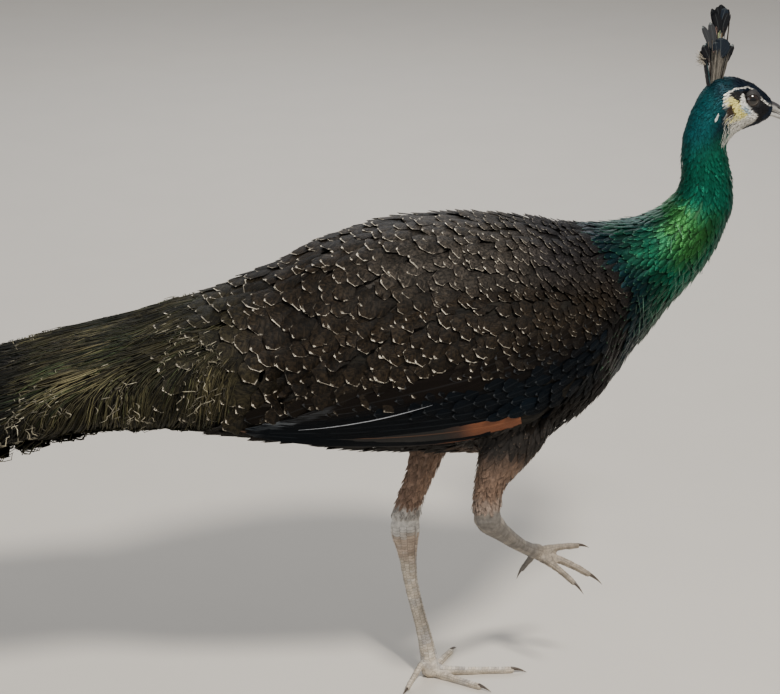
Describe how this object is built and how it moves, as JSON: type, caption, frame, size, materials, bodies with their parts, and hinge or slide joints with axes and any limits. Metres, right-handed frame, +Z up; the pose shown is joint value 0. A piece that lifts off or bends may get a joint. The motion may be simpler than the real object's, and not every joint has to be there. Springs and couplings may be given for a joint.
{
  "type": "peafowl",
  "caption": "Life-size still model of a young male peafowl walking, one foot on the floor and one lifted, neck up, crest raised, short train folded behind.",
  "frame": {"origin": "on the floor, at the middle of the bird's whole length from bill tip to train tip and in its middle plane", "axes": "+X forwards, the way the bill points; +Y the bird's left; +Z up"},
  "size_m": [1.1738, 0.243, 0.747],
  "materials": {
    "crown": "short dense feathers over flesh, low gloss",
    "neck_feathers": "iridescent scale-like feathers over flesh, satin",
    "breast": "dense dark feathers over flesh, satin",
    "back_feathers": "rounded light-edged feathers, satin",
    "wing_feathers": "glossy blue-black coverts, satin",
    "flight_feathers": "rufous flight feathers, matte",
    "train": "loose bronze-green plumes, satin",
    "tail_feathers": "brown barred tail feathers, matte",
    "vent_down": "soft dark down, matte",
    "crest": "stiff webbed crest plumes, satin",
    "thigh": "short dark feathers over flesh, matte",
    "shank": "short pinkish-tan feathers over flesh, matte",
    "scaled_skin": "scaled horny skin, low gloss",
    "claw": "horn, low gloss",
    "bill": "horn, low gloss",
    "eye": "wet, high gloss"
  },
  "bodies": {
    "root": {"head": "crown", "neck_upper": "neck_feathers", "neck_middle": "neck_feathers", "neck_lower": "neck_feathers", "trunk": "breast", "rump": "back_feathers", "eye_l": "eye", "eye_r": "eye", "bill_upper": "bill", "bill_lower": "bill", "crest": "crest", "wing_l": "wing_feathers", "wing_r": "wing_feathers", "primaries_l": "flight_feathers", "primaries_r": "flight_feathers", "thigh_l": "thigh", "shank_l": "shank", "tarsus_l": "scaled_skin", "thigh_r": "thigh", "shank_r": "shank", "tarsus_r": "scaled_skin", "toe_l_3": "scaled_skin", "claw_l_3": "claw", "toe_l_2": "scaled_skin", "claw_l_2": "claw", "toe_l_4": "scaled_skin", "claw_l_4": "claw", "toe_l_1": "scaled_skin", "claw_l_1": "claw", "toe_r_3": "scaled_skin", "claw_r_3": "claw", "toe_r_2": "scaled_skin", "claw_r_2": "claw", "toe_r_4": "scaled_skin", "claw_r_4": "claw", "toe_r_1": "scaled_skin", "claw_r_1": "claw", "train_upper": "train", "train_side_l": "train", "train_side_r": "train", "tail": "tail_feathers", "vent_coverts": "vent_down"}
  },
  "joints": []
}
